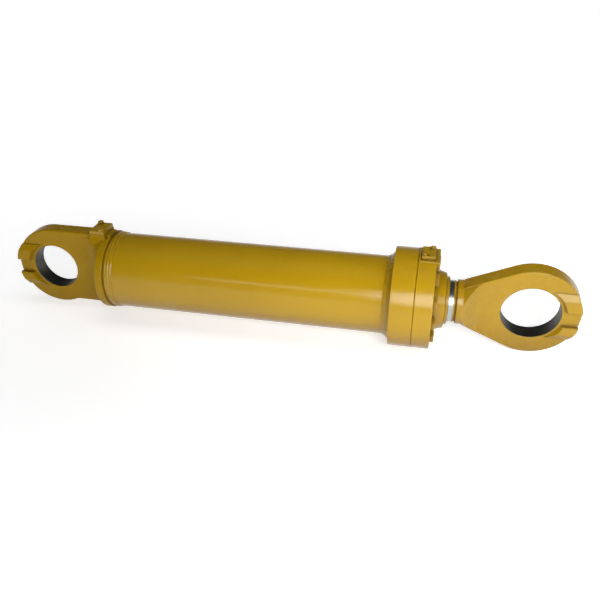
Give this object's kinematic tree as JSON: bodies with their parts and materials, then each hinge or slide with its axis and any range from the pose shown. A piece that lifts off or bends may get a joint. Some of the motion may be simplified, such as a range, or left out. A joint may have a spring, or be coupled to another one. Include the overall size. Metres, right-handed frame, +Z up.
{
  "type": "hydraulic cylinder",
  "caption": "Double-acting welded hydraulic cylinder with a pin eye at each end, a bolted head gland and a chromed rod.",
  "frame": {"origin": "centre of the pin bore in the base eye, cylinder retracted", "axes": "+X along the cylinder from the base eye to the rod eye, +Y along the base eye's pin bore, +Z up, the side that both oil ports face"},
  "size_m": [1.5605, 0.2654, 0.2755],
  "materials": {
    "yellow_paint": "semi-gloss ochre yellow enamel over welded and machined steel",
    "painted_bolts": "steel bolts painted over with the cylinder",
    "chrome_rod": "ground and polished hard chrome",
    "bare_steel": "machined, oiled",
    "nitrile": "black moulded rubber",
    "polyurethane": "dark moulded polyurethane",
    "bearing_resin": "fabric-filled resin",
    "ptfe": "filled low-friction polymer"
  },
  "bodies": {
    "barrel": {"base_cap": "yellow_paint", "base_weld": "yellow_paint", "barrel_tube": "yellow_paint", "tube_collar": "yellow_paint", "collar_weld": "yellow_paint", "head_gland": "yellow_paint", "head_bolts": "painted_bolts", "head_o_ring": "nitrile", "head_backup_ring": "ptfe", "rod_wear_rings": "bearing_resin", "rod_buffer_seal": "polyurethane", "rod_u_cup": "polyurethane", "rod_wiper": "polyurethane", "base_port_cover": "yellow_paint", "base_port_bolts": "painted_bolts", "base_port_o_ring": "nitrile", "head_port_cover": "yellow_paint", "head_port_bolts": "painted_bolts", "head_port_o_ring": "nitrile"},
    "piston_rings": {"piston_seal": "ptfe", "piston_energizer": "nitrile", "piston_wear_rings": "bearing_resin"},
    "rod": {"piston_rod": "chrome_rod", "rod_weld": "yellow_paint", "rod_eye": "yellow_paint", "piston": "bare_steel", "piston_nut": "bare_steel", "piston_o_ring": "nitrile"}
  },
  "joints": [
    {"name": "rod_slide", "type": "slide", "parent": "barrel", "child": "piston_rings", "axis": [1, 0, 0], "range_m": [0, 0.6]},
    {"name": "rod_turn", "type": "hinge", "parent": "piston_rings", "child": "rod", "pos_m": [0.3, 0, 0], "axis": [1, 0, 0], "continuous": true}
  ]
}
